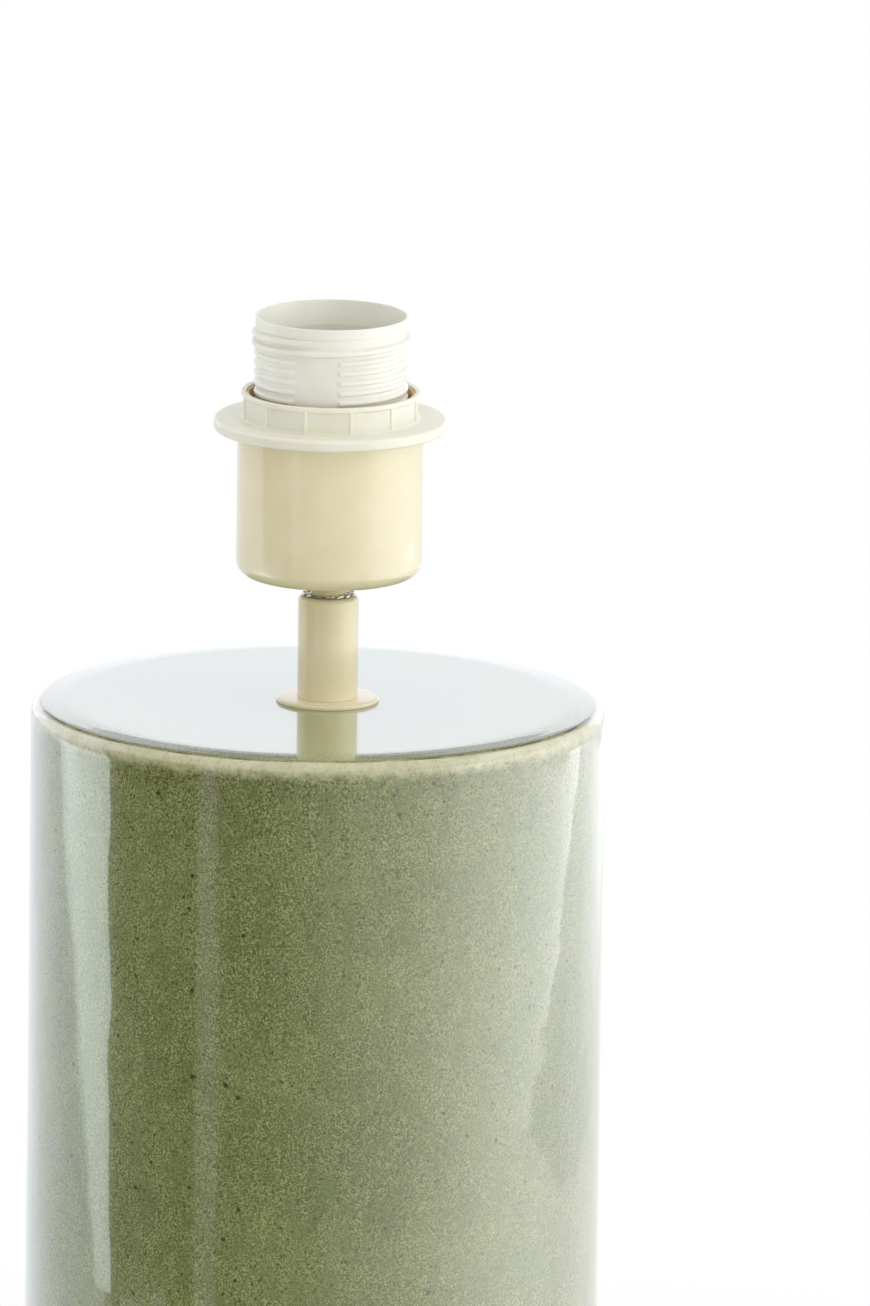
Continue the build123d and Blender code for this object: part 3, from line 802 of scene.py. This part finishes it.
# Bare panel on the skirt's front, and where its left side and its other sides run out
PANEL_HALF_W = 5.75
PANEL_TURN = radians(12)
PANEL_TOP = 342.2
PANEL_LEFT = (-PANEL_HALF_W - 0.5, -PANEL_HALF_W + 0.7)
PANEL_RIGHT = (PANEL_HALF_W - 0.2, PANEL_HALF_W + 0.2)
PANEL_HEAD = (PANEL_TOP - 0.3, PANEL_TOP + 0.3)
# The thread stands on the wall outside this radius and above this height
THREAD_ROOM_R = 18.2
THREAD_ROOM_FOOT = 309.6
THREAD_START = 316.725
THREAD_PITCH = 2.5
LOW_TURNS = 10
LOW_BASE_W = 1.75
LOW_CREST_W = 0.6
LOW_HEIGHT = 0.6
FULL_START = THREAD_START + LOW_TURNS * THREAD_PITCH
FULL_TURNS = 1.75
FULL_BASE_W = 2.0
FULL_CREST_W = 0.7
FULL_HEIGHT = 1.25


def bare_panel(angle, z):
    """1 on the smooth panel of the skirt, 0 off it; its left side runs out softly."""
    facing = angle + PANEL_TURN
    if sin(facing) > 0:
        return 0
    across = SKIRT_ROOT_R * cos(facing)
    left = smooth(*PANEL_LEFT, across)
    right = 1 - smooth(*PANEL_RIGHT, across)
    return left * right * (1 - smooth(*PANEL_HEAD, z))


def skirt_threads(angle, r, z):
    """Outside threads of the skirt: ten low turns, then full turns up to the rim."""
    if r < THREAD_ROOM_R or z < THREAD_ROOM_FOOT or z > RIM_FOOT:
        return r, z
    low = LOW_HEIGHT * helix_height(
        angle, z, THREAD_START, THREAD_PITCH, LOW_TURNS, LOW_BASE_W, LOW_CREST_W
    )
    full = FULL_HEIGHT * helix_height(
        angle, z, FULL_START, THREAD_PITCH, FULL_TURNS, FULL_BASE_W, FULL_CREST_W
    )
    low *= 1 - bare_panel(angle, z)
    return r + max(low, full), z


turned(
    "skirt",
    outline(
        [
            (SKIRT_BORE_R, SKIRT_FOOT, FINE),
            (SKIRT_FOOT_R, SKIRT_FOOT, EASED),
            (SKIRT_FOOT_R, SKIRT_SHOULDER, 0),
            (SKIRT_ROOT_R, SKIRT_SHOULDER, FINE),
            (SKIRT_ROOT_R, RIM_FOOT, CRISP),
            (RIM_R, RIM_FOOT, FINE),
            (RIM_R, RIM_TOP, CRISP),
            (MOUTH_LIP_R, RIM_TOP, FINE),
            (MOUTH_R, MOUTH_TAPER_FROM, 0),
            (MOUTH_R, SKIRT_FLOOR, FINE),
            (SKIRT_BORE_R, SKIRT_FLOOR, FINE),
        ],
        step=THREAD_STEP,
    ),
    SKIRT_SEGMENTS,
    "white_plastic",
    shape=skirt_threads,
    node="holder_skirt",
)

# Shade ring, millimetres
FLANGE_R = 28.8
FLANGE_UNDER = 321.0
FLANGE_TOP = 323.9
COLLAR_R = 22.1
COLLAR_INNER_R = 20.85
COLLAR_TOP = 330.7
BORE_R = 19.95
BORE_TOP = 326.6
FLANGE_ROUND = 0.8
RING_STEP = 0.16
RING_SEGMENTS = 720
# Ribs of the collar: half the angle between two, first rib, half width and soft flank
HALF_PANEL = radians(15)
RIB_TURN = radians(13.5)
RIB_HALF_W = 0.3
RIB_SOFT = 0.12
RIB_FLANK = (RIB_HALF_W - RIB_SOFT, RIB_HALF_W + RIB_SOFT)
# A panel lies midway between a flat at the first distance and an arc of the second radius
PANEL_FLAT, PANEL_ARC = 21.3, 21.5
PANEL_START = (324.1, 324.5)
PANEL_END = (329.3, 329.7)
# The collar's outside lies beyond this radius and between these heights
COLLAR_SIDE_R = 22
COLLAR_SIDE = (323.95, 330.6)
# Thread of the bore, which lies inside this radius
BORE_SIDE_R = 20
BORE_THREAD_START = 322.975
BORE_TURNS = 1.1
BORE_BASE_W = 1.5
BORE_CREST_W = 0.3
BORE_THREAD_HEIGHT = 1.0


def ring_form(angle, r, z):
    """Twelve shallow panels between narrow ribs round the collar, and the bore's thread."""
    if r > COLLAR_SIDE_R and COLLAR_SIDE[0] < z < COLLAR_SIDE[1]:
        to_rib = (angle - RIB_TURN + HALF_PANEL) % (2 * HALF_PANEL) - HALF_PANEL
        to_middle = HALF_PANEL - abs(to_rib)
        panel = (PANEL_ARC + PANEL_FLAT / cos(to_middle)) / 2
        rib = 1 - smooth(*RIB_FLANK, abs(to_rib) * COLLAR_R)
        depth = smooth(*PANEL_START, z) * (1 - smooth(*PANEL_END, z)) * (1 - rib)
        return r - (r - panel) * depth, z
    if r < BORE_SIDE_R and z < BORE_TOP:
        ridge = helix_height(
            angle, z, BORE_THREAD_START, THREAD_PITCH, BORE_TURNS, BORE_BASE_W, BORE_CREST_W
        )
        return r - BORE_THREAD_HEIGHT * ridge, z
    return r, z


turned(
    "ring",
    outline(
        [
            (BORE_R, FLANGE_UNDER, EASED),
            (FLANGE_R, FLANGE_UNDER, FLANGE_ROUND),
            (FLANGE_R, FLANGE_TOP, FLANGE_ROUND),
            (COLLAR_R, FLANGE_TOP, EASED),
            (COLLAR_R, COLLAR_TOP, SOFT),
            (COLLAR_INNER_R, COLLAR_TOP, SOFT),
            (COLLAR_INNER_R, BORE_TOP, FINE),
            (BORE_R, BORE_TOP, FINE),
        ],
        step=RING_STEP,
    ),
    RING_SEGMENTS,
    "white_plastic",
    shape=ring_form,
    node="shade_ring",
    material="ring_plastic",
)

# Table top, metres
TABLE_RINGS = (0.15, 0.25, 0.35, 0.5)
TABLE_SIDES = 96
TABLE_FADE = (0.2, 0.48)


def table():
    """Round pale table top that fades into the white surround."""
    spokes = [2 * pi * i / TABLE_SIDES for i in range(TABLE_SIDES)]
    verts = [(0, 0, 0)]
    for r in TABLE_RINGS:
        verts += [(r * cos(a), r * sin(a), 0) for a in spokes]
    faces = [(0, 1 + i, 1 + (i + 1) % TABLE_SIDES) for i in range(TABLE_SIDES)]
    for k in range(len(TABLE_RINGS) - 1):
        one, two = 1 + k * TABLE_SIDES, 1 + (k + 1) * TABLE_SIDES
        for i in range(TABLE_SIDES):
            j = (i + 1) % TABLE_SIDES
            faces.append((one + i, two + i, two + j, one + j))
    top = mesh_object("table_top", verts, faces)
    s = Shader("table_top")
    x, y = s.parts(s.place)[:2]
    grain = s.noise(1.5, 2, 0.5)
    s.set(
        Base_Color=s.mix(grain, srgb(243, 243, 241), srgb(246, 246, 245)),
        Roughness=0.7,
        Normal=s.bump(grain, 0.01),
        Alpha=s.band(s.length(x, y), *TABLE_FADE, 1.0, 0.0),
    )
    top.data.materials.append(s.material)


table()

# Strength of the white surround for rays that aren't camera, glossy or transmitted ones
AMBIENT = 0.755


def surround():
    """White world that camera, glossy and transmitted rays see; softer light for the rest."""
    world = bpy.data.worlds.new("studio")
    world.use_nodes = True
    bpy.context.scene.world = world
    tree = world.node_tree
    back = tree.nodes["Background"]
    back.inputs["Color"].default_value = (1, 1, 1, 1)
    path = tree.nodes.new("ShaderNodeLightPath")
    seen = path.outputs["Is Camera Ray"]
    for output in ("Is Glossy Ray", "Is Transmission Ray"):
        either = tree.nodes.new("ShaderNodeMath")
        either.operation = "MAXIMUM"
        tree.links.new(seen, either.inputs[0])
        tree.links.new(path.outputs[output], either.inputs[1])
        seen = either.outputs[0]
    level = tree.nodes.new("ShaderNodeMapRange")
    level.inputs["To Min"].default_value = AMBIENT
    level.inputs["To Max"].default_value = 1.0
    tree.links.new(seen, level.inputs["Value"])
    tree.links.new(level.outputs[0], back.inputs["Strength"])


surround()


# Lamps, metres and degrees
def direction(azimuth):
    """Level direction at an angle to the right of the camera, seen from the object."""
    return Vector((sin(radians(azimuth)), -cos(radians(azimuth)), 0))


def area_lamp(name, place, facing, width, height, radiance, tint):
    """Rectangular area lamp at a place, shining along facing."""
    lamp = bpy.data.lights.new(name, "AREA")
    lamp.shape = "RECTANGLE"
    lamp.size = width
    lamp.size_y = height
    lamp.energy = radiance * width * height * pi
    lamp.color = tint
    holder = bpy.data.objects.new(name, lamp)
    holder.location = place
    holder.rotation_euler = facing.to_track_quat("-Z", "Y").to_euler()
    bpy.context.collection.objects.link(holder)
    holder.visible_camera = False
    return holder


def softbox(name, azimuth, distance, low, high, width, radiance, tint):
    """Upright area lamp from height low to high that faces the object."""
    place = direction(azimuth) * distance
    place.z = (low + high) / 2
    return area_lamp(name, place, -direction(azimuth), width, high - low, radiance, tint)


def key_light(name, **placing):
    """Softbox that lights the object but leaves no mirror image in the glaze."""
    softbox(name, **placing).visible_glossy = False


def top_light(name, height, width, radiance):
    """Square area lamp above the object, also without a mirror image."""
    place, down = Vector((0, 0, height)), Vector((0, 0, -1))
    lamp = area_lamp(name, place, down, width, width, radiance, tint=(1.0, 1.0, 1.0))
    lamp.visible_glossy = False


softbox(
    "back_light",
    azimuth=180,
    distance=1.7,
    low=0.15,
    high=0.86,
    width=2.4,
    radiance=0.475,
    tint=(0.87, 0.95, 1.27),
)
key_light(
    "key_right",
    azimuth=68,
    distance=1.3,
    low=0.25,
    high=1.5,
    width=1.1,
    radiance=1.34,
    tint=(0.97, 1.0, 1.05),
)
key_light(
    "front_fill",
    azimuth=8,
    distance=1.4,
    low=-0.1,
    high=0.35,
    width=1.0,
    radiance=0.85,
    tint=(1.0, 1.0, 1.0),
)
top_light("top_fill", height=1.6, width=1.1, radiance=0.6)


# Cards that only reflections see, metres and degrees
def reflected(name, columns, distance, low, high, tint):
    """Curved wall round the object, from (azimuth below, azimuth above, brightness) columns."""
    verts, faces, levels = [], [], []
    for below, above, level in columns:
        for azimuth, z in ((below, low), (above, high)):
            spot = direction(azimuth) * distance
            verts.append((spot.x, spot.y, z))
            levels.append(level)
    for k in range(len(columns) - 1):
        faces.append((2 * k, 2 * k + 2, 2 * k + 3, 2 * k + 1))
    wall = mesh_object(name, verts, faces)
    wall.data.attributes.new("level", "FLOAT", "POINT").data.foreach_set("value", levels)
    s = Shader(name)
    s.set(
        Base_Color=(0, 0, 0),
        Roughness=1.0,
        Specular_IOR_Level=0.0,
        Emission_Color=tint,
        Emission_Strength=s.add("ShaderNodeAttribute", attribute_name="level").outputs["Fac"],
    )
    wall.data.materials.append(s.material)
    for ray in ("camera", "diffuse", "transmission", "shadow", "volume_scatter"):
        setattr(wall, "visible_" + ray, False)


def upright(levels):
    """Upright columns of a wall, from (azimuth, brightness)."""
    return [(azimuth, azimuth, level) for azimuth, level in levels]


# Walls as (azimuth, brightness), from the left of the camera round to its right
ROOM = (
    (-92, 1.25), (-90, 0.03), (-76, 0.02), (-75, 0.12), (-72, 0.12), (-71, 0.02), (-60, 0.02),
    (-59, 0.14), (-56, 0.1), (-55, 0.02), (-48, 0.02), (-47, 0.75), (-39, 0.65), (-38, 0.1),
    (-20, 0.2), (0, 0.45), (12, 0.8), (25, 1.2), (40, 1.65), (50, 2.2), (60, 2.8), (70, 3.2),
    (80, 3.4), (90, 3.4), (100, 3.3), (115, 2.5), (130, 1.9), (145, 1.4), (160, 1.1), (175, 1.0),
)
LEFT_WALL = ((-180, 0.9), (-140, 1.25), (-110, 1.4), (-92, 1.3))
LEFT_LOW = ((-91, 1.4), (-75, 1.3), (-60, 0.9), (-59, 0.1))
LEFT_HIGH = ((-155, 1.2), (-140, 1.6), (-110, 1.7), (-92, 1.5))
RIGHT_HIGH = ((60, 1.2), (85, 2.2), (120, 2.2), (150, 1.3))
CEILING = ((158, 0.6), (166, 0.18), (194, 0.18), (202, 0.6))
# Slanting windows as (azimuth below, azimuth above, brightness)
LEFT_WINDOW = ((-85.5, -114, 2.0), (-84, -109, 3.0), (-80, -90, 3.1), (-77.5, -80.5, 3.1))
RIGHT_WINDOW = ((75, 85, 3.4), (88, 125, 3.8), (93, 130, 4.2), (94, 131, 2.2), (150, 176, 1.2))
# Tints of the light that they give
GREENISH, WHITE = (0.99, 1.0, 0.99), (1.0, 1.0, 1.0)
COOL, COOLER, COOLEST = (0.98, 1.0, 1.03), (0.96, 1.0, 1.07), (0.97, 1.0, 1.1)
SKY = (0.93, 1.02, 1.04)

reflected("room", upright(ROOM), distance=2.0, low=-2.0, high=0.9, tint=GREENISH)
reflected("left_wall", upright(LEFT_WALL), distance=2.0, low=-2.0, high=0.2, tint=COOLER)
reflected("left_low", upright(LEFT_LOW), distance=1.9, low=-1.5, high=-0.325, tint=COOL)
reflected("left_high", upright(LEFT_HIGH), distance=2.0, low=0.2, high=2.2, tint=COOLEST)
reflected("right_high", upright(RIGHT_HIGH), distance=2.0, low=0.9, high=3.0, tint=COOLEST)
reflected("left_window", LEFT_WINDOW, distance=0.25, low=0.068, high=0.214, tint=SKY)
reflected("ceiling", upright(CEILING), distance=2.0, low=0.83, high=2.2, tint=WHITE)
reflected("right_window", RIGHT_WINDOW, distance=1.0, low=-0.06, high=0.045, tint=COOL)

# Camera, far off, a little above and slightly rolled; places in metres
DISTANCE = 10.0
ELEVATION = radians(12.4)
ROLL = radians(0.7)
CLIP_NEAR, CLIP_FAR = 0.5, 40
AIM_RIGHT, AIM_UP = 0.02887, 0.01158
# Its long lens, in millimetres
LENS = 1116.4
SENSOR = 36


def camera():
    """Camera aimed a little right of and above the middle of the body's top."""
    forward = Vector((0, cos(ELEVATION), -sin(ELEVATION)))
    right = Vector((1, 0, 0))
    up = Vector((0, sin(ELEVATION), cos(ELEVATION)))
    level_right = right * cos(ROLL) + up * sin(ROLL)
    level_up = up * cos(ROLL) - right * sin(ROLL)
    target = Vector((0, 0, BODY_TOP * MM)) + level_right * AIM_RIGHT + level_up * AIM_UP
    data = bpy.data.cameras.new("camera")
    data.lens = LENS
    data.sensor_width = SENSOR
    data.clip_start = CLIP_NEAR
    data.clip_end = CLIP_FAR
    holder = bpy.data.objects.new("camera", data)
    turn = Matrix((level_right, level_up, -forward)).transposed()
    holder.matrix_world = Matrix.Translation(target - forward * DISTANCE) @ turn.to_4x4()
    bpy.context.collection.objects.link(holder)
    bpy.context.scene.camera = holder


camera()
bpy.context.scene.view_settings.view_transform = "Standard"
